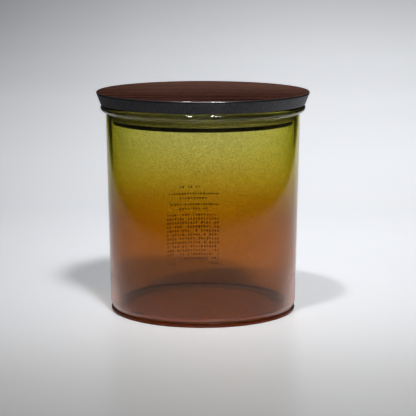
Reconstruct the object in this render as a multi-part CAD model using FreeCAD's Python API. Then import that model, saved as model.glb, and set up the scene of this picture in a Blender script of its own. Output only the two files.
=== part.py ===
"""Drafted glass storage jar with a rolled rim, closed by a turned wooden lid with a silicone seal.

Millimetres. +Z is up and is the axis of every piece. The origin is the centre of the circle that
the jar stands on, so the floor is the plane z = 0. Every piece is turned, so each is given by the
corners of its section: radius, height, and the rounding of that corner.
"""

import FreeCAD, Part
import math
import os

# Glass jar
mouth_height = 107.0        # floor to the flat seat on top of the rim
shoulder_radius = 50.0      # outside of the wall, just under the rolled rim
wall_draft = 2.0            # outside radius lost from the shoulder down to the floor
wall = 2.8                  # thickness of the side wall
floor_thickness = 3.0       # glass between the floor plane and the inside floor
floor_corner_round = 3.0    # inside, where the wall meets the inside floor
mouth_round = 1.2           # inside edge of the mouth

# Rolled rim
rim_depth = 3.6             # height of the roll
rim_overhang = 2.7          # how far the roll stands out past the shoulder
rim_round = 1.78            # outer corners of the roll
rim_neck_round = 0.8        # hollow where the roll meets the wall

# Heel and standing ring of the jar
heel_height = 4.2           # where the wall starts to turn in
heel_round = 6.0            # the soft turn of the heel
groove_height = 2.0         # bottom of the groove above the standing ring
groove_inset = 1.2          # groove, in from the wall carried down to the floor
groove_round = 0.3          # bottom of the groove
foot_step = 0.5             # drop from the groove to the ring's upper edge
foot_inset = 0.25           # standing ring, in from the wall carried down to the floor
foot_edge_round = 0.6       # lower outer edge of the ring
foot_width = 5.0            # width of the ring that touches the floor
punt_rise = 0.8             # hollow under the jar, above the floor plane
punt_slope = 6.0            # width of the slope from the ring up to the hollow
punt_round = 12.0           # both ends of that slope

# Lid board
board_thickness = 6.5       # underside to top face
board_tuck = 0.2            # underside edge, in from the outside of the rim
board_flare = 2.9           # how much the side leans out from bottom to top
board_top_round = 1.2       # upper edge
board_bottom_round = 0.4    # lower edge

# Lid plug, glued under the board
plug_depth = 9.5            # board's underside to the plug's lower face
flange_thickness = 2.1      # the lip that keeps the seal from slipping off
flange_clearance = 0.75     # flange to the inside of the glass
flange_round = 0.5          # edges of the flange
seal_groove_depth = 3.2     # core of the plug, in from the flange's edge

# Silicone seal
seal_bore_clearance = 0.05  # seal's bore to the plug's core
seal_end_clearance = 0.1    # seal to the flange below it and to the board above it
seal_lip_clearance = 0.1    # lips to the inside of the glass
seal_lip_reach = 1.1        # how far the lips stand out from the seal's body
seal_lip_thickness = 1.0    # thickness of a lip at its tip
seal_lip_round = 0.4        # tips of the lips
seal_root_round = 0.4       # hollows between body and lips

# Heights and radii that follow from the sizes above
shoulder_height = mouth_height - rim_depth
rim_radius = shoulder_radius + rim_overhang
floor_line_radius = shoulder_radius - wall_draft
draft = wall_draft / shoulder_height
flange_bottom = mouth_height - plug_depth
flange_top = flange_bottom + flange_thickness

TOUCHING = 0.98             # most of a section's side that its two roundings may take


def outside_radius(height):
    """Outside radius of the drafted wall at this height."""
    return floor_line_radius + draft * height


def inside_radius(height):
    """Inside radius of the drafted wall at this height."""
    return outside_radius(height) - wall * math.hypot(1.0, draft)


def cut_backs(corners):
    """How far each corner's rounding reaches along its two sides, limited by those sides."""
    points = [FreeCAD.Vector(r, 0, z) for r, z, _ in corners]
    count = len(points)
    reach = []
    for i, (_, _, rounding) in enumerate(corners):
        before = (points[i - 1] - points[i]).normalize()
        after = (points[(i + 1) % count] - points[i]).normalize()
        half = before.getAngle(after) / 2
        reach.append(rounding / math.tan(half))
    limited = list(reach)
    for i in range(count):
        j = (i + 1) % count
        wanted = reach[i] + reach[j]
        room = TOUCHING * points[i].distanceToPoint(points[j])
        if wanted > room:
            limited[i] = min(limited[i], reach[i] * room / wanted)
            limited[j] = min(limited[j], reach[j] * room / wanted)
    return points, limited


def corner_arc(before, corner, after, reach):
    """Arc that touches both sides of a corner at this distance from it."""
    inward = (before - corner).normalize()
    outward = (after - corner).normalize()
    half = inward.getAngle(outward) / 2
    middle = (inward + outward).normalize()
    radius = reach * math.tan(half)
    nearest = reach / math.cos(half) - radius
    start = corner + inward * reach
    end = corner + outward * reach
    return Part.Arc(start, corner + middle * nearest, end).toShape(), start, end


def turned(corners):
    """Solid made by turning a closed section about Z."""
    points, reach = cut_backs(corners)
    count = len(points)
    arcs = []
    spans = []
    for i, corner in enumerate(points):
        if reach[i] > 0:
            arc, start, end = corner_arc(points[i - 1], corner, points[(i + 1) % count], reach[i])
            arcs.append(arc)
            spans.append((start, end))
        else:
            spans.append((corner, corner))
    sides = []
    for i in range(count):
        start = spans[i][1]
        end = spans[(i + 1) % count][0]
        sides.append(Part.LineSegment(start, end).toShape())
    section = Part.Face(Part.Wire(Part.__sortEdges__(sides + arcs)))
    solid = section.revolve(FreeCAD.Vector(0, 0, 0), FreeCAD.Vector(0, 0, 1), 360)
    return Part.Solid(solid.Shells[0]) if solid.ShapeType != "Solid" else solid


def glass_jar():
    """Base, standing ring, heel, drafted wall and rolled rim in one piece of glass."""
    foot_radius = floor_line_radius - foot_inset
    groove_radius = floor_line_radius - groove_inset
    standing_radius = foot_radius - foot_width
    return turned([
        (0.0, punt_rise, 0),
        (standing_radius - punt_slope, punt_rise, punt_round),
        (standing_radius, 0.0, punt_round),
        (foot_radius, 0.0, foot_edge_round),
        (foot_radius, groove_height - foot_step, groove_round),
        (groove_radius, groove_height, groove_round),
        (outside_radius(heel_height), heel_height, heel_round),
        (shoulder_radius, shoulder_height, rim_neck_round),
        (rim_radius, shoulder_height, rim_round),
        (rim_radius, mouth_height, rim_round),
        (inside_radius(mouth_height), mouth_height, mouth_round),
        (inside_radius(floor_thickness), floor_thickness, floor_corner_round),
        (0.0, floor_thickness, 0),
    ])


def lid_board():
    """Round board whose side leans outwards, lying flat on the rim."""
    underside_radius = rim_radius - board_tuck
    return turned([
        (0.0, mouth_height, 0),
        (underside_radius, mouth_height, board_bottom_round),
        (underside_radius + board_flare, mouth_height + board_thickness, board_top_round),
        (0.0, mouth_height + board_thickness, 0),
    ])


def flange_radius():
    """Edge of the plug's flange, clear of the glass at the flange's tightest height."""
    return inside_radius(flange_bottom) - flange_clearance


def core_radius():
    """Core of the plug, where the seal sits."""
    return flange_radius() - seal_groove_depth


def lid_plug():
    """Turned plug that fills the mouth: a core for the seal and a flange below it."""
    return turned([
        (0.0, flange_bottom, 0),
        (flange_radius(), flange_bottom, flange_round),
        (flange_radius(), flange_top, flange_round),
        (core_radius(), flange_top, 0),
        (core_radius(), mouth_height, 0),
        (0.0, mouth_height, 0),
    ])


def seal_ring():
    """Seal stretched round the plug's core, with a lip at its foot and one near its top."""
    bore = core_radius() + seal_bore_clearance
    bottom = flange_top + seal_end_clearance
    top = mouth_height - seal_end_clearance
    lip_top = bottom + seal_lip_thickness
    upper_lip_top = shoulder_height + seal_lip_thickness
    upper_lip_bottom = shoulder_height
    lower_tip = inside_radius(bottom) - seal_lip_clearance
    upper_tip = inside_radius(upper_lip_bottom) - seal_lip_clearance
    body = lower_tip - seal_lip_reach
    return turned([
        (bore, bottom, 0),
        (lower_tip, bottom, seal_lip_round),
        (lower_tip, lip_top, seal_lip_round),
        (body, lip_top, seal_root_round),
        (body, upper_lip_bottom, seal_root_round),
        (upper_tip, upper_lip_bottom, seal_lip_round),
        (upper_tip, upper_lip_top, seal_lip_round),
        (body, upper_lip_top, seal_root_round),
        (body, top, seal_root_round),
        (bore, top, 0),
    ])


def export(name, shape):
    """Writes one piece and says how large it is."""
    if not shape.isValid() or len(shape.Solids) != 1:
        raise ValueError(name + " is not one valid solid")
    shape.exportStep(os.path.join("parts", name + ".step"))
    box = shape.optimalBoundingBox(False, False)
    print(f"{name}: {box.XLength:.1f} x {box.YLength:.1f} x {box.ZLength:.1f} mm,"
          f" z {box.ZMin:.2f} to {box.ZMax:.2f}, {shape.Volume / 1000:.1f} cm3")


os.makedirs("parts", exist_ok=True)
export("glass_jar", glass_jar())
export("lid_board", lid_board())
export("lid_plug", lid_plug())
export("seal_ring", seal_ring())
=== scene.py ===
# %% [markdown]
# # A glass storage jar with a turned wooden lid
#
# The jar is one piece of clear glass whose outside carries a see-through coat: olive green under
# the rim, amber in the middle, red-brown at the base. A dark wooden lid closes it with a silicone
# seal. The imported CAD model gives every size and place; this lesson adds the looks around it.
# First the frame is loaded, and the boxes of the glass and the board are kept, because the turned
# pieces take their sizes from them.

# %% Load the frame
import math

import bmesh
import bpy
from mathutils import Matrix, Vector


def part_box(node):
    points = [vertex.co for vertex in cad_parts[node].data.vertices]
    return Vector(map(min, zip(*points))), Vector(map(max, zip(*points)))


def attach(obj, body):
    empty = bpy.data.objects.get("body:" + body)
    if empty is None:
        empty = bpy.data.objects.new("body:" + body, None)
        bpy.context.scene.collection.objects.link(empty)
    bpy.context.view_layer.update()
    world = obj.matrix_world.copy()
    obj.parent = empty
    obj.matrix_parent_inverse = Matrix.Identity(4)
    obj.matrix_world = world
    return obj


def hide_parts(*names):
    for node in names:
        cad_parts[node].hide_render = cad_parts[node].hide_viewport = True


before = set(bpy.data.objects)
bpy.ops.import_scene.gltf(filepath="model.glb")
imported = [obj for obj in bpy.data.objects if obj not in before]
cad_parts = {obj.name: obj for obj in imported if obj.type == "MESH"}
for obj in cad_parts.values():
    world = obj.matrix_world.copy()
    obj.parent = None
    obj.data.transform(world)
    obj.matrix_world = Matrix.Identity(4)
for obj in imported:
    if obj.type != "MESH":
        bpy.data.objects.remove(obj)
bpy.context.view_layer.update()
MM = 0.001
jar_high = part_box("glass_jar")[1]
board_low, board_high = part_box("lid_board")

# %% [markdown]
# ## A bench for node trees
#
# Finishes and shapes are both made of nodes. Writing node maths by hand is slow to read, so a
# small class wraps one output socket and lets Python's own operators add the Math node that does
# the same sum. Any other node comes from one method: its type, its settings, and what goes into
# its sockets. The two are all that the rest of the lesson needs.

# %% Wires and benches
class Wire:
    """An output socket. Sums written with it add Math nodes."""

    def __init__(self, bench, node, socket):
        self.bench = bench
        self.node = node
        self.socket = socket

    def other(self, name):
        return Wire(self.bench, self.node, self.node.outputs[name])

    def sum(self, operation, *values):
        return self.bench.node("ShaderNodeMath", {"operation": operation}, dict(enumerate(values)))

    def __add__(self, value):
        return self.sum("ADD", self, value)

    __radd__ = __add__

    def __sub__(self, value):
        return self.sum("SUBTRACT", self, value)

    def __rsub__(self, value):
        return self.sum("SUBTRACT", value, self)

    def __mul__(self, value):
        return self.sum("MULTIPLY", self, value)

    __rmul__ = __mul__

    def __truediv__(self, value):
        return self.sum("DIVIDE", self, value)

    def __rtruediv__(self, value):
        return self.sum("DIVIDE", value, self)

    def __pow__(self, value):
        return self.sum("POWER", self, value)

    def __gt__(self, value):
        return self.sum("GREATER_THAN", self, value)

    def __lt__(self, value):
        return self.sum("LESS_THAN", self, value)


class Bench:
    """A node tree and the one method that puts a node in it."""

    def __init__(self, tree):
        self.tree = tree

    def node(self, kind, settings=None, sockets=None):
        made = self.tree.nodes.new(kind)
        for name, value in (settings or {}).items():
            if name == "stops":
                self.set_stops(made.color_ramp, value)
            else:
                setattr(made, name, value)
        for key, value in (sockets or {}).items():
            if isinstance(value, Wire):
                self.tree.links.new(value.socket, made.inputs[key])
            else:
                made.inputs[key].default_value = value
        return Wire(self, made, made.outputs[0]) if made.outputs else made

    def set_stops(self, ramp, stops):
        while len(ramp.elements) < len(stops):
            ramp.elements.new(1.0)
        for element, (place, colour) in zip(ramp.elements, stops):
            element.position = place
            element.color = (*colour, 1.0)

    def smooth(self, value, low, high):
        """0 below low, 1 above high, and a soft change between them."""
        settings = {"interpolation_type": "SMOOTHSTEP"}
        return self.node("ShaderNodeMapRange", settings, {"Value": value, 1: low, 2: high})

    def mix(self, share, first, second, blend="MIX"):
        """A colour between first and second, or another blend of the two."""
        settings = {"data_type": "RGBA", "blend_type": blend}
        mixed = self.node("ShaderNodeMix", settings, {0: share, 6: first, 7: second})
        return Wire(self, mixed.node, mixed.node.outputs[2])


def new_finish(name):
    """A material with an empty bench, and the object coordinates on it."""
    material = bpy.data.materials.new(name)
    material.use_nodes = True
    material.node_tree.nodes.clear()
    bench = Bench(material.node_tree)
    place = bench.node("ShaderNodeTexCoord").other("Object")
    return material, bench, place


def split(bench, place):
    """The x, y and z of a place."""
    parts = bench.node("ShaderNodeSeparateXYZ", None, {0: place})
    return parts, parts.other("Y"), parts.other("Z")


def finish_with(bench, surface):
    bench.node("ShaderNodeOutputMaterial", None, {"Surface": surface})


# %% [markdown]
# ## The camera
#
# A jar's straight walls look straight only from far off, so the camera stands well back with a
# long lens. It looks slightly down, just enough to show the top of the lid as a thin ellipse. Its
# direction comes from a point near the jar's axis that it aims at, because a target is easier to
# change than three angles.

# %% Camera
camera_distance = 854.7 * MM
camera_height = 197.3 * MM
aim_height = 52.4 * MM
aim_side = 2.6 * MM
lens_length = 144.5
film_width = 36.0
far_limit = 20.0
camera_data = bpy.data.cameras.new("camera")
camera_data.lens = lens_length
camera_data.sensor_width = film_width
camera_data.clip_end = far_limit
camera = bpy.data.objects.new("camera", camera_data)
bpy.context.scene.collection.objects.link(camera)
camera.location = (0.0, -camera_distance, camera_height)
line_of_sight = Vector((aim_side, 0.0, aim_height)) - camera.location
camera.rotation_euler = line_of_sight.to_track_quat("-Z", "Y").to_euler()
bpy.context.scene.camera = camera
bpy.context.scene.view_settings.view_transform = "Standard"
dip = math.degrees(math.asin(-line_of_sight.z / line_of_sight.length))
print("camera looks down", round(dip, 2), "degrees")

# %% [markdown]
# ## Lamps in a dark room
#
# Glass shows whatever stands round it, so the room is nearly dark and the lamps stand far off.
# Each lamp is a square panel behind a grid, which narrows its light to a cone: it falls on the jar
# and the floor near it, and the glass mirrors only a small bright square. The right lamp throws
# the soft shadow to the left, and the left lamp throws the one to the right. An area lamp with a
# small spread does the work of the panel and its grid.

# %% Lamps and room
def add_lamp(name, turn, rise, reach, width, cone, aim, power):
    """A square lamp with a grid on it. turn is degrees to the right of the camera's side."""
    data = bpy.data.lights.new(name, "AREA")
    data.size = width
    data.energy = power
    data.spread = math.radians(cone)
    lamp = bpy.data.objects.new(name, data)
    bpy.context.scene.collection.objects.link(lamp)
    level = math.cos(math.radians(rise)) * reach
    side = math.sin(math.radians(turn)) * level
    front = math.cos(math.radians(turn)) * level
    lamp.location = (side, -front, math.sin(math.radians(rise)) * reach)
    lamp.rotation_euler = (Vector(aim) - lamp.location).to_track_quat("-Z", "Y").to_euler()
    print(name, "stands at, m:", [round(v, 2) for v in lamp.location])


add_lamp("lamp_right", turn=19.0, rise=53.5, reach=4.0, width=0.62, cone=18.0,
         aim=(0.15, 0.30, 0.0), power=2.3)
add_lamp("lamp_left", turn=-26.1, rise=66.3, reach=4.0, width=0.29, cone=10.0,
         aim=(0.0, 0.10, 0.0), power=0.265)

room_light = 0.03
room = bpy.data.worlds.new("room")
bpy.context.scene.world = room
room.use_nodes = True
walls = room.node_tree.nodes["Background"]
walls.inputs["Color"].default_value = (1.0, 1.0, 1.0, 1.0)
walls.inputs["Strength"].default_value = room_light

# %% [markdown]
# ## The sheet
#
# The jar stands on a pale sheet that sweeps up into a wall far behind it, so no horizon shows. Its
# section is a straight floor, a quarter circle and a straight wall, which a short loop can write
# down point by point. Lengths of the sheet are in metres.

# %% Sheet that sweeps up behind the jar
def sweep_sheet():
    """A floor that bends up into a wall along a quarter circle."""
    near = -0.45
    bend_start = 1.6
    bend = 1.2
    top = 3.0
    half_width = 0.60
    clear_of_foot = 0.03 * MM
    steps = 24
    outline = [(near, 0.0), (bend_start, 0.0)]
    for step in range(1, steps + 1):
        angle = math.radians(90.0 * step / steps)
        outline.append((bend_start + bend * math.sin(angle), bend * (1 - math.cos(angle))))
    outline.append((bend_start + bend, top))
    corners = [(side, y, z - clear_of_foot) for y, z in outline for side in (-half_width, half_width)]
    faces = [(i, i + 1, i + 3, i + 2) for i in range(0, len(corners) - 2, 2)]
    mesh = bpy.data.meshes.new("sheet")
    mesh.from_pydata(corners, [], faces)
    mesh.shade_smooth()
    sheet = bpy.data.objects.new("sheet", mesh)
    bpy.context.scene.collection.objects.link(sheet)
    print("sheet, m:", [round(v, 2) for v in sheet.dimensions])
    return sheet


floor = sweep_sheet()

# %% [markdown]
# ## Light in the sheet
#
# Under wide ceiling lights a sheet is brighter in some places than in others. Here that light is
# painted in as a glow of the sheet's own: one ramp of greys holds how the glow rises away from the
# camera, another how it rises from left to right. The painted light fills only an oval pool;
# outside it the glow stops and painted shade turns the paper near black. The pool ends in a soft
# rounded edge in front of the jar, and the glass mirrors that edge as a faint bow across its front,
# which is much of what makes it look like glass.

# %% Sheet finish
def grey_ramp(bench, value, low, high, levels):
    """A ramp of greys: levels lists (place, grey) between low and high."""
    stops = [((place - low) / (high - low), (grey, grey, grey)) for place, grey in levels]
    share = (value - low) / (high - low)
    return bench.node("ShaderNodeValToRGB", {"stops": stops}, {0: share})


POOL_CENTRE = 0.05
POOL_HALF_WIDTH = 0.405
POOL_WIDENING = 0.12
POOL_RIGHT_CUT = 0.065
POOL_FRONT_LINE = 0.232
POOL_FRONT_REACH = 0.504


def sheet_finish():
    """Pale paper with a few fibres in it, and a painted pool of light with painted shade round it."""
    material, bench, place = new_finish("pale_sheet")
    across, away, _ = split(bench, place)
    fibres = bench.node("ShaderNodeTexNoise", None, {"Vector": place, "Scale": 60.0, "Detail": 3.0})
    paper_and_painted_shade = bench.mix(bench.smooth(away, -0.16, 0.02), (0.80, 0.80, 0.80, 1), (0.785, 0.80, 0.835, 1))
    paper_and_painted_shade = bench.mix(fibres * 0.03, paper_and_painted_shade, (0.70, 0.70, 0.70, 1))
    # Painted light: the sheet's own glow, rising away from the camera and from left to right.
    along = grey_ramp(bench, away, -0.2, 2.2, [
        (-0.19, 0.03), (-0.14, 0.035), (-0.06, 0.09), (0.0, 0.10), (0.12, 0.08), (0.30, 0.13),
        (0.41, 0.24), (0.55, 0.35), (0.765, 0.44), (1.05, 0.53), (1.37, 0.52), (1.62, 0.49),
        (1.8, 0.50), (1.92, 0.455), (2.0, 0.415)])
    sideways = grey_ramp(bench, across, -0.4, 0.4, [
        (-0.35, 0.48), (-0.25, 0.61), (-0.17, 0.70), (-0.10, 0.80), (0.0, 0.88), (0.10, 0.96),
        (0.2, 1.0), (0.35, 1.0)])
    half_wide = bench.smooth(away, 0.6, 1.8) * POOL_WIDENING + POOL_HALF_WIDTH
    right_half = across > POOL_CENTRE
    pool_side = (across - POOL_CENTRE) / (half_wide - right_half * POOL_RIGHT_CUT)
    pool_front = (away.sum("MINIMUM", away, POOL_FRONT_LINE) - POOL_FRONT_LINE) / POOL_FRONT_REACH
    pool = (pool_side * pool_side + pool_front * pool_front) ** 0.5
    # Painted shade: outside the oval pool the paper's colour goes near black and the glow stops.
    painted_shade_outside_pool = bench.smooth(pool, 0.91, 1.05)
    paper_and_painted_shade = bench.mix(painted_shade_outside_pool, paper_and_painted_shade, (0.02, 0.02, 0.02, 1))
    painted_glow = along * sideways * (1.0 - painted_shade_outside_pool)
    painted_glow = bench.mix(painted_glow, (0.0, 0.0, 0.0, 1), (0.98, 1.0, 1.04, 1))
    paper = bench.node("ShaderNodeBsdfPrincipled", None, {
        "Base Color": paper_and_painted_shade, "Roughness": 0.3, "Emission Color": painted_glow, "Emission Strength": 1.0})
    finish_with(bench, paper)
    return material


floor.data.materials.append(sheet_finish())
print("sheet finish has", len(floor.active_material.node_tree.nodes), "nodes")

# %% [markdown]
# ## Turned shapes
#
# The glass and the wooden board are both turned: one outline goes once round the axis. The
# outline is a few corners, each with its own rounding, so Geometry Nodes can do what a lathe does:
# round the corners with Fillet Curve, then carry every point of the outline round in a circle. A
# grid does the carrying: its rows are points of the outline and its columns are steps round.

# %% The lathe's tree
def lathe_tree():
    """Geometry Nodes: an outline of corners, rounded, then turned about Z."""
    tree = bpy.data.node_groups.new("lathe", "GeometryNodeTree")
    face = tree.interface
    face.new_socket("Outline", in_out="INPUT", socket_type="NodeSocketGeometry")
    face.new_socket("Steps round", in_out="INPUT", socket_type="NodeSocketInt")
    face.new_socket("Steps in a corner", in_out="INPUT", socket_type="NodeSocketInt")
    face.new_socket("Finish", in_out="INPUT", socket_type="NodeSocketMaterial")
    face.new_socket("Turned", in_out="OUTPUT", socket_type="NodeSocketGeometry")
    bench = Bench(tree)
    given = bench.node("NodeGroupInput")
    line = bench.node("GeometryNodeMeshToCurve", None, {0: given})
    rounding = bench.node(
        "GeometryNodeInputNamedAttribute", {"data_type": "FLOAT"}, {"Name": "rounding"})
    line = bench.node("GeometryNodeFilletCurve", {"mode": "POLY"}, {
        "Curve": line, "Count": given.other("Steps in a corner"), "Radius": rounding,
        "Limit Radius": True})
    size = bench.node("GeometryNodeAttributeDomainSize", {"component": "CURVE"}, {0: line})
    grid = bench.node("GeometryNodeMeshGrid", None, {
        "Vertices X": size, "Vertices Y": given.other("Steps round") + 1})
    here = bench.node("GeometryNodeInputPosition")
    across, along, _ = split(bench, here)
    row = (across + 0.5) * (size - 1) + 0.5
    row = row.sum("FLOOR", row)
    angle = (along + 0.5) * math.tau
    sample = bench.node(
        "GeometryNodeSampleIndex", {"data_type": "FLOAT_VECTOR", "domain": "POINT"},
        {"Geometry": line, "Value": here, "Index": row})
    radius, _, height = split(bench, sample)
    place = bench.node("ShaderNodeCombineXYZ", None, {
        "X": radius * angle.sum("COSINE", angle), "Y": radius * angle.sum("SINE", angle),
        "Z": height})
    turned = bench.node("GeometryNodeSetPosition", None, {"Geometry": grid, "Position": place})
    turned = bench.node("GeometryNodeMergeByDistance", None, {
        "Geometry": turned, "Distance": 1e-6})
    turned = bench.node("GeometryNodeRealizeInstances", None, {0: turned})
    turned = bench.node("GeometryNodeSetMaterial", None, {
        "Geometry": turned, "Material": given.other("Finish")})
    bench.node("NodeGroupOutput", None, {0: turned})
    return tree


lathe = lathe_tree()
print("lathe has", len(lathe.nodes), "nodes")

# %% [markdown]
# ## Holding points
#
# Smooth shading spreads a bend over every face that shares the corner. Near each rounding the
# straight sides therefore get a holding point, so that the shading bends only in the rounding and
# the long walls stay true, which matters most where glass refracts light.

# %% Holding points
def holding_points(corners, hold):
    """The corners, with a point at each end of every side, just past the rounding."""
    held = []
    count = len(corners)
    for i, (radius, height, rounding) in enumerate(corners):
        here = Vector((radius, height))
        before = Vector(corners[i - 1][:2]) - here if i > 0 else None
        after = Vector(corners[i + 1][:2]) - here if i < count - 1 else None
        if rounding == 0 or before is None or after is None:
            held.append((here.x, here.y, 0.0))
            continue
        reach = rounding / math.tan(before.angle(after) / 2) + hold
        if reach < before.length / 2:
            held.append((*(here + before.normalized() * reach), 0.0))
        held.append((here.x, here.y, rounding))
        if reach < after.length / 2:
            held.append((*(here + after.normalized() * reach), 0.0))
    return held


# %% [markdown]
# ## From outline to piece
#
# The outline is a plain mesh: corners joined by edges, with each corner's rounding as an
# attribute. A modifier runs the lathe on it, new_from_object keeps the result as a plain mesh, and
# the modifier is taken off again. All faces are then turned outwards, because glass bends light
# by which side of a face is outside.

# %% Turn a piece
def use_tree(host, tree, inputs):
    """Runs a Geometry Nodes tree on an object and gives back the result as a plain mesh."""
    modifier = host.modifiers.new(tree.name, "NODES")
    modifier.node_group = tree
    for socket in tree.interface.items_tree:
        if socket.in_out == "INPUT" and socket.name in inputs:
            modifier[socket.identifier] = inputs[socket.name]
    ready = host.evaluated_get(bpy.context.evaluated_depsgraph_get())
    mesh = bpy.data.meshes.new_from_object(ready)
    host.modifiers.remove(modifier)
    return mesh


def point_outwards(mesh):
    """Turns the faces of a closed shape outwards."""
    shape = bmesh.new()
    shape.from_mesh(mesh)
    bmesh.ops.recalc_face_normals(shape, faces=shape.faces)
    if shape.calc_volume(signed=True) < 0:
        bmesh.ops.reverse_faces(shape, faces=shape.faces)
    print("  volume", round(shape.calc_volume() / MM**3 / 1000, 1), "cm3; open edges",
          sum(not edge.is_manifold for edge in shape.edges))
    shape.to_mesh(mesh)
    shape.free()


def turn(name, corners, hold, finish, steps_round, steps_in_corner):
    """A turned piece: its outline, lathed and smoothed, with its faces outwards."""
    held = holding_points(corners, hold)
    outline = bpy.data.meshes.new(name + "_outline")
    spots = [(radius, 0.0, height) for radius, height, _ in held]
    outline.from_pydata(spots, [(i, i + 1) for i in range(len(spots) - 1)], [])
    attribute = outline.attributes.new("rounding", "FLOAT", "POINT")
    attribute.data.foreach_set("value", [rounding for _, _, rounding in held])
    host = bpy.data.objects.new(name + "_outline", outline)
    bpy.context.scene.collection.objects.link(host)
    mesh = use_tree(host, lathe, {
        "Steps round": steps_round, "Steps in a corner": steps_in_corner, "Finish": finish})
    bpy.data.objects.remove(host)
    mesh.name = name
    mesh.shade_smooth()
    piece = bpy.data.objects.new(name, mesh)
    bpy.context.scene.collection.objects.link(piece)
    point_outwards(mesh)
    print(name, "has", len(mesh.polygons), "faces")
    return piece


# %% [markdown]
# ## Tinted glass
#
# The glass itself is clear, and the tint is a thin see-through lacquer sprayed on its outside and
# baked, underside included. The inside faces stay clear. The coat's colour depends only on height,
# so one ramp over the height holds it, with a fine cloud in it as sprayed lacquer has. Light that
# crosses the coat at a slant goes a longer way through it, which the Facing weight deepens.
#
# Two places get a second, plain surface mixed in, which carries painted light. On the standing
# ring a deep red brown, darker towards the groove, is painted for the light caught in the foot. On
# the lower sides, seen along the wall, a pale pink is painted as the bright floor's reflection.
# Lamps shine through the glass by a Light Path switch, because refracted lamp light would leave
# hot specks.

# %% Sizes of the glass
rim_radius = jar_high.x
mouth_height = jar_high.z
wall = 2.8 * MM
rim_depth = 3.6 * MM
rim_overhang = 2.7 * MM
wall_draft = 2.0 * MM
floor_thickness = 3.0 * MM
groove_height = 2.0 * MM
groove_inset = 1.2 * MM
shoulder_radius = rim_radius - rim_overhang
shoulder_height = mouth_height - rim_depth
floor_line_radius = shoulder_radius - wall_draft
draft = (shoulder_radius - floor_line_radius) / shoulder_height
print("wall leans in by", round(math.degrees(math.atan(draft)), 2), "degrees")

# %% Colours of the coat, and the painted light of the standing ring, from the floor upwards
TINT = [
    (0.00, (0.27, 0.070, 0.025)),
    (0.12, (0.30, 0.083, 0.014)),
    (0.28, (0.345, 0.095, 0.003)),
    (0.40, (0.330, 0.094, 0.0)),
    (0.49, (0.325, 0.113, 0.001)),
    (0.58, (0.41, 0.230, 0.007)),
    (0.68, (0.52, 0.390, 0.042)),
    (0.78, (0.52, 0.450, 0.085)),
    (0.86, (0.57, 0.530, 0.130)),
]
# Painted light: the standing ring's red brown stands for light caught in the foot.
PAINTED_RING_LIGHT = [
    (0.0, (0.06, 0.010, 0.004)),
    (0.45, (0.10, 0.016, 0.003)),
    (0.75, (0.06, 0.008, 0.001)),
    (1.0, (0.01, 0.001, 0.0)),
]
CLEAR_GLASS = (0.97, 0.98, 0.97, 1)
# Painted reflection: a pale pink for the bright floor mirrored in the lower sides.
PAINTED_FLOOR_REFLECTION = (0.95, 0.64, 0.55, 1)
LAMP_THROUGH_GLASS = (0.58, 0.54, 0.46, 1)
print("coat has", len(TINT), "colours, standing ring", len(PAINTED_RING_LIGHT))

# %% Glass finish
def coat_colour(bench, place, height, facing):
    """The coat's tint at this height, clouded, and deeper where light crosses it at a slant."""
    tint = bench.node("ShaderNodeValToRGB", {"stops": TINT}, {0: height / mouth_height})
    cloud = bench.node("ShaderNodeTexNoise", None, {"Vector": place, "Scale": 1200.0, "Detail": 2.0})
    tint = bench.mix(1.0, tint, bench.smooth(cloud, 0.3, 0.7) * 0.34 + 0.83, "MULTIPLY")
    slanted = bench.mix(facing * 0.6, tint, tint, "MULTIPLY")
    yellow = facing.sum("MINIMUM", facing * 1.7, 1.0)
    return bench.mix(yellow, slanted, (1.0, 1.0, 0.05, 1), "MULTIPLY")


def glass_finish():
    """Clear glass, coated outside, with painted light on the standing ring and a painted reflection
    on the lower sides.
    """
    material, bench, place = new_finish("tinted_glass")
    across, along, height = split(bench, place)
    radius = (across * across + along * along) ** 0.5
    middle = height * draft + (floor_line_radius - wall / 2)
    inside = (radius < middle) * (height > floor_thickness / 2)
    facing = bench.node("ShaderNodeLayerWeight", None, {"Blend": 0.5}).other("Facing")
    colour = bench.mix(inside, coat_colour(bench, place, height, facing), CLEAR_GLASS)
    glass = bench.node("ShaderNodeBsdfPrincipled", None, {
        "Base Color": colour, "Roughness": 0.0, "IOR": 1.5, "Transmission Weight": 1.0})
    lamp_way = bench.node("ShaderNodeBsdfTransparent", None, {"Color": LAMP_THROUGH_GLASS})
    from_lamp = bench.node("ShaderNodeLightPath").other("Is Shadow Ray")
    glass = bench.node("ShaderNodeMixShader", None, {0: from_lamp, 1: glass, 2: lamp_way})
    groove_radius = floor_line_radius - groove_inset
    # Painted light: the standing ring is mostly a plain deep red brown surface, for light caught in
    # the foot.
    ring = (height < groove_height + 0.05 * MM) * (radius > groove_radius - 0.1 * MM)
    painted_ring_colour = bench.node("ShaderNodeValToRGB", {"stops": PAINTED_RING_LIGHT}, {0: height / groove_height})
    # Painted reflection: a pale pink surface on the lower sides, seen along the wall, for the floor's
    # reflection.
    low = 1.0 - bench.smooth(height, 6 * MM, 34 * MM)
    painted_reflection_share = bench.smooth(facing, 0.38, 0.85) * low * (1.0 - inside)
    painted_light_surface = bench.node("ShaderNodeBsdfPrincipled", None, {
        "Base Color": bench.mix(ring, PAINTED_FLOOR_REFLECTION, painted_ring_colour), "Roughness": 0.35,
        "Specular IOR Level": 0.05})
    share = ring * 0.9 + painted_reflection_share * (1.0 - ring) * 0.45
    finish_with(bench, bench.node("ShaderNodeMixShader", None, {0: share, 1: glass, 2: painted_light_surface}))
    return material


# %% [markdown]
# ## The jar's outline
#
# The outline runs from the middle of the underside, out under the standing ring, up the groove,
# the heel and the wall, over the rolled rim and back down inside. The underside is hollow, so the
# jar stands on its ring and doesn't rock. The groove above the ring is what throws a dark line
# round the base.

# %% Turn the glass
def inside_radius(height):
    """Inside radius of the leaning wall at this height."""
    return floor_line_radius + draft * height - wall * math.hypot(1.0, draft)


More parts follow.
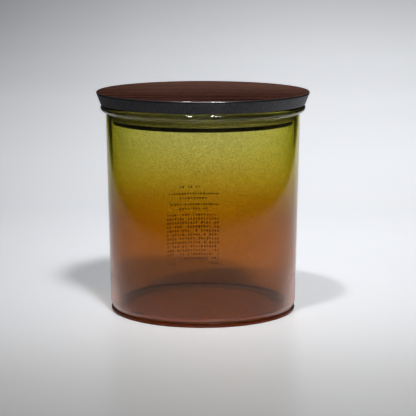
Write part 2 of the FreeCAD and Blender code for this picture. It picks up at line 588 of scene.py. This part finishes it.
def jar_outline():
    """Radius, height and rounding of each corner of the glass."""
    punt_rise = 0.8 * MM
    punt_slope = 6.0 * MM
    punt_round = 12.0 * MM
    foot_radius = floor_line_radius - 0.25 * MM
    foot_top = groove_height - 0.5 * MM
    standing_radius = foot_radius - 5.0 * MM
    heel_height = 4.2 * MM
    heel_round = 6.0 * MM
    rim_round = 1.78 * MM
    floor_corner_round = 3.0 * MM
    return [
        (0.0, punt_rise, 0.0),
        (standing_radius - punt_slope, punt_rise, punt_round),
        (standing_radius, 0.0, punt_round),
        (foot_radius, 0.0, 0.6 * MM),
        (foot_radius, foot_top, 0.3 * MM),
        (floor_line_radius - groove_inset, groove_height, 0.3 * MM),
        (floor_line_radius + draft * heel_height, heel_height, heel_round),
        (shoulder_radius, shoulder_height, 0.8 * MM),
        (rim_radius, shoulder_height, rim_round),
        (rim_radius, mouth_height, rim_round),
        (inside_radius(mouth_height), mouth_height, 1.2 * MM),
        (inside_radius(floor_thickness), floor_thickness, floor_corner_round),
        (0.0, floor_thickness, 0.0),
    ]


STEPS_ROUND = 192
STEPS_IN_CORNER = 10
jar = turn("jar_glass", jar_outline(), hold=0.3 * MM, finish=glass_finish(),
           steps_round=STEPS_ROUND, steps_in_corner=STEPS_IN_CORNER)
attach(jar, "jar")
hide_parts("glass_jar")

# %% [markdown]
# ## Printed marks
#
# The far side of the jar carries a small block of screen print, seen through the glass. It stands
# here as rows of plain broken dashes that spell nothing. Screen print is a thin layer of ink with
# a real edge, so each dash is a slab a few hundredths of a millimetre thick. Geometry Nodes walks
# along each row, drops a slab at every step, leaves some out, varies their width and height from
# a fixed seed, and last of all wraps the block around the drafted wall.

# %% One slab of ink
def slab(bench, size, thickness):
    """One unit of ink: a rounded square in x and z, closed all round, thickness along y."""
    line = bench.node("GeometryNodeCurvePrimitiveQuadrilateral", None, {0: size, 1: size})
    line = bench.node("GeometryNodeFilletCurve", {"mode": "POLY"}, {
        "Curve": line, "Count": 2, "Radius": size * 0.3})
    base = bench.node("GeometryNodeFillCurve", {"mode": "NGONS"}, {0: line})
    top = bench.node("GeometryNodeExtrudeMesh", {"mode": "FACES"}, {
        "Mesh": base, "Offset Scale": thickness, "Individual": False})
    under = bench.node("GeometryNodeFlipFaces", None, {0: base})
    both = bench.node("GeometryNodeJoinGeometry")
    for part in (top, under):
        bench.tree.links.new(part.socket, both.node.inputs[0])
    closed = bench.node("GeometryNodeMergeByDistance", None, {"Geometry": both, "Distance": 1e-6})
    return bench.node("GeometryNodeTransform", None, {
        "Geometry": closed, "Rotation": (math.radians(-90.0), 0.0, 0.0)})


# %% The printing tree
def printing_tree():
    """Geometry Nodes: guide lines in x and z become rows of ink dashes on the wall."""
    tree = bpy.data.node_groups.new("printing", "GeometryNodeTree")
    face = tree.interface
    face.new_socket("Rows", in_out="INPUT", socket_type="NodeSocketGeometry")
    for name in ("Step", "Dash", "Ink thickness", "Wall radius at floor", "Wall draft", "Left out"):
        face.new_socket(name, in_out="INPUT", socket_type="NodeSocketFloat")
    face.new_socket("Seed", in_out="INPUT", socket_type="NodeSocketInt")
    face.new_socket("Finish", in_out="INPUT", socket_type="NodeSocketMaterial")
    face.new_socket("Print", in_out="OUTPUT", socket_type="NodeSocketGeometry")
    bench = Bench(tree)
    given = bench.node("NodeGroupInput")
    seed = given.other("Seed")
    line = bench.node("GeometryNodeMeshToCurve", None, {0: given})
    spots = bench.node("GeometryNodeCurveToPoints", {"mode": "LENGTH"}, {
        "Curve": line, "Length": given.other("Step")})
    chance = bench.node("FunctionNodeRandomValue", {"data_type": "FLOAT"}, {"Seed": seed})
    chance = Wire(bench, chance.node, chance.node.outputs[1])
    spots = bench.node("GeometryNodeDeleteGeometry", {"domain": "POINT"}, {
        "Geometry": spots, "Selection": chance < given.other("Left out")})
    smallest = (0.36, 1.0, 0.65)
    largest = (0.70, 1.0, 1.0)
    spread = bench.node("FunctionNodeRandomValue", {"data_type": "FLOAT_VECTOR"}, {
        0: smallest, 1: largest, "Seed": seed + 1})
    dash = slab(bench, given.other("Dash"), given.other("Ink thickness"))
    placed = bench.node("GeometryNodeInstanceOnPoints", None, {
        "Points": spots, "Instance": dash, "Scale": spread})
    placed = bench.node("GeometryNodeRealizeInstances", None, {0: placed})
    here = bench.node("GeometryNodeInputPosition")
    across, lift, height = split(bench, here)
    radius = given.other("Wall radius at floor") + given.other("Wall draft") * height
    angle = across / radius
    out = radius + lift
    place = bench.node("ShaderNodeCombineXYZ", None, {
        "X": out * angle.sum("SINE", angle), "Y": out * angle.sum("COSINE", angle), "Z": height})
    wrapped = bench.node("GeometryNodeSetPosition", None, {"Geometry": placed, "Position": place})
    wrapped = bench.node("GeometryNodeSetMaterial", None, {
        "Geometry": wrapped, "Material": given.other("Finish")})
    bench.node("NodeGroupOutput", None, {0: wrapped})
    return tree


printing = printing_tree()
print("printing has", len(printing.nodes), "nodes")

# %% [markdown]
# ## Ink and rows
#
# Screen ink dries matt and a little uneven, so its brown black drifts with a fine cloud. The block
# has a few short heading rows and then a column of even rows below them. Each row is one straight
# guide line, given by its height and its two ends along the wall.

# %% Ink finish
def ink_finish():
    material, bench, place = new_finish("print_ink")
    cloud = bench.node("ShaderNodeTexNoise", None, {"Vector": place, "Scale": 900.0, "Detail": 3.0})
    colour = bench.mix(cloud, (0.004, 0.003, 0.002, 1), (0.016, 0.010, 0.004, 1))
    ink = bench.node("ShaderNodeBsdfPrincipled", None, {
        "Base Color": colour, "Roughness": cloud * 0.2 + 0.45})
    finish_with(bench, ink)
    return material


# %% Print the rows
def print_rows():
    """Height, left end and right end of each row, in millimetres."""
    rows = [(56.3, -13.0, -0.3), (52.5, -19.4, 8.1), (50.0, -13.0, 1.7), (46.6, -19.0, 8.1),
            (44.2, -13.0, 2.3), (14.0, 5.0, 8.3), (14.0, -19.4, -16.7)]
    body_top = 40.8
    body_pitch = 2.19
    body_count = 12
    for row in range(body_count):
        left = -20.6 if row < body_count - 1 else -10.3
        rows.append((body_top - row * body_pitch, left, 8.6))
    return rows


def make_print():
    """All rows of the print as one thin mesh, wrapped on the wall."""
    guide = bpy.data.meshes.new("print_guide")
    spots = []
    for height, left, right in print_rows():
        spots.append((left * MM, 0.0, height * MM))
        spots.append((right * MM, 0.0, height * MM))
    guide.from_pydata(spots, [(i, i + 1) for i in range(0, len(spots), 2)], [])
    host = bpy.data.objects.new("print_guide", guide)
    bpy.context.scene.collection.objects.link(host)
    mesh = use_tree(host, printing, {
        "Step": 1.5 * MM, "Dash": 1.35 * MM, "Ink thickness": 0.02 * MM,
        "Wall radius at floor": floor_line_radius + 0.01 * MM, "Wall draft": draft,
        "Left out": 0.10, "Seed": 7, "Finish": ink_finish()})
    bpy.data.objects.remove(host)
    mesh.name = "print_marks"
    marks = bpy.data.objects.new("print_marks", mesh)
    bpy.context.scene.collection.objects.link(marks)
    point_outwards(mesh)
    print("print_marks has", len(mesh.polygons), "faces")
    return marks


marks = make_print()
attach(marks, "jar")

# %% [markdown]
# ## Dark wood
#
# The board's top is stained red brown over a fine grain, and a painted sheen makes it paler towards
# the back and the right. Its side is sanded end grain that took the stain much darker, with short
# upright pores. A little wax shines on the side and most of all on the upper edge, so that edge gets
# a coat that catches the lamps as a thin line, and a near-black line lies just under it. Masks over
# the height tell top, edge, line and side apart.

# %% Wood finish
def board_finish():
    """Stained top with a painted sheen towards the back, dark side, waxed edge."""
    material, bench, place = new_finish("board_wood")
    across, away, height = split(bench, place)
    board_top = board_high.z
    top = bench.smooth(height, board_top - 0.30 * MM, board_top - 0.06 * MM)
    edge = bench.smooth(height, board_top - 0.45 * MM, board_top - 0.32 * MM)
    dark_line = bench.smooth(height, board_top - 1.1 * MM, board_top - 0.8 * MM) * (1.0 - edge)
    flat = bench.smooth(height, board_top - 0.03 * MM, board_top - 0.004 * MM)
    polish = bench.smooth(across, 15.0 * MM, 50.0 * MM) * 0.20 + 0.10
    stretched = bench.node("ShaderNodeMapping", None, {"Vector": place, "Scale": (0.15, 1.0, 1.0)})
    grain = bench.node("ShaderNodeTexNoise", None, {
        "Vector": stretched, "Scale": 1500.0, "Detail": 5.0, "Roughness": 0.6})
    patches = bench.node("ShaderNodeTexNoise", None, {
        "Vector": stretched, "Scale": 140.0, "Detail": 3.0})
    stain = bench.node("ShaderNodeValToRGB", {"stops": [
        (0.34, (0.010, 0.0030, 0.0022)),
        (0.50, (0.036, 0.0135, 0.0095)),
        (0.66, (0.080, 0.033, 0.0235)),
    ]}, {0: grain * 0.6 + patches * 0.4})
    # Painted sheen: the top is mixed paler towards the back and the right.
    painted_sheen = bench.smooth(away + across * 0.25, -45 * MM, 65 * MM) * (grain * 0.8 + 0.2)
    stain = bench.mix(painted_sheen, stain, (0.115, 0.060, 0.044, 1))
    upright = bench.node("ShaderNodeMapping", None, {"Vector": place, "Scale": (1.0, 1.0, 0.05)})
    pores = bench.node("ShaderNodeTexNoise", None, {
        "Vector": upright, "Scale": 1300.0, "Detail": 3.0, "Roughness": 0.7})
    side = bench.node("ShaderNodeValToRGB", {"stops": [
        (0.30, (0.020, 0.0195, 0.022)),
        (0.70, (0.046, 0.044, 0.049)),
    ]}, {0: pores})
    colour = bench.mix(top, side, stain)
    colour = bench.mix(dark_line * 0.8, colour, (0.004, 0.003, 0.003, 1))
    relief = bench.node("ShaderNodeMix", {"data_type": "FLOAT"}, {0: top, 2: pores, 3: grain})
    bump = bench.node("ShaderNodeBump", None, {
        "Strength": 0.3, "Distance": 0.1 * MM, "Height": relief})
    rough = bench.node("ShaderNodeMix", {"data_type": "FLOAT"}, {
        0: top, 2: 0.42 - edge * 0.16, 3: grain * 0.2 + 0.45})
    wax = edge * (1.0 - flat) + (1.0 - edge) * (1.0 - dark_line) * polish
    wood = bench.node("ShaderNodeBsdfPrincipled", None, {
        "Base Color": colour, "Roughness": rough, "Normal": bump, "Specular IOR Level": 0.0,
        "Coat Weight": wax, "Coat Roughness": 0.24, "Coat IOR": 2.2})
    finish_with(bench, wood)
    return material


# %% [markdown]
# ## The board's outline
#
# The board is turned like the glass. Its side leans outwards from just inside the rim, so that
# fingers can get under it, and its upper edge is only lightly broken.

# %% Turn the board
def board_outline():
    """Radius, height and rounding of each corner of the board."""
    underside_radius = rim_radius - 0.2 * MM
    flare = 2.50 * MM
    return [
        (0.0, board_low.z, 0.0),
        (underside_radius, board_low.z, 0.4 * MM),
        (underside_radius + flare, board_high.z, 0.55 * MM),
        (0.0, board_high.z, 0.0),
    ]


board = turn("board", board_outline(), hold=0.4 * MM, finish=board_finish(),
             steps_round=STEPS_ROUND, steps_in_corner=STEPS_IN_CORNER)
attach(board, "lid")
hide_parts("lid_board")

# %% [markdown]
# ## Plug and seal
#
# The plug under the board is stained black, and the silicone seal round it is pale and slightly
# cloudy. With the lid on, both are seen only through the tinted glass, as a black band with a
# lighter one above it. Their CAD shapes are already right, so they keep them and only get a finish.

# %% Plug and seal finishes
def plug_finish():
    material, bench, place = new_finish("plug_wood")
    grain = bench.node("ShaderNodeTexNoise", None, {"Vector": place, "Scale": 700.0, "Detail": 4.0})
    colour = bench.mix(grain, (0.002, 0.002, 0.002, 1), (0.006, 0.006, 0.005, 1))
    wood = bench.node("ShaderNodeBsdfPrincipled", None, {
        "Base Color": colour, "Roughness": grain * 0.2 + 0.45})
    finish_with(bench, wood)
    return material


def seal_finish():
    material, bench, place = new_finish("seal_silicone")
    cloud = bench.node("ShaderNodeTexNoise", None, {"Vector": place, "Scale": 300.0, "Detail": 3.0})
    colour = bench.mix(cloud, (0.62, 0.61, 0.54, 1), (0.72, 0.71, 0.65, 1))
    silicone = bench.node("ShaderNodeBsdfPrincipled", None, {
        "Base Color": colour, "Roughness": cloud * 0.15 + 0.35})
    finish_with(bench, silicone)
    return material


def dress(node, finish):
    """Gives a CAD node its finish and leaves its shape alone."""
    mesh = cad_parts[node].data
    mesh.materials.clear()
    mesh.materials.append(finish)
    print(node, "wears", finish.name)


dress("lid_plug", plug_finish())
dress("seal_ring", seal_finish())
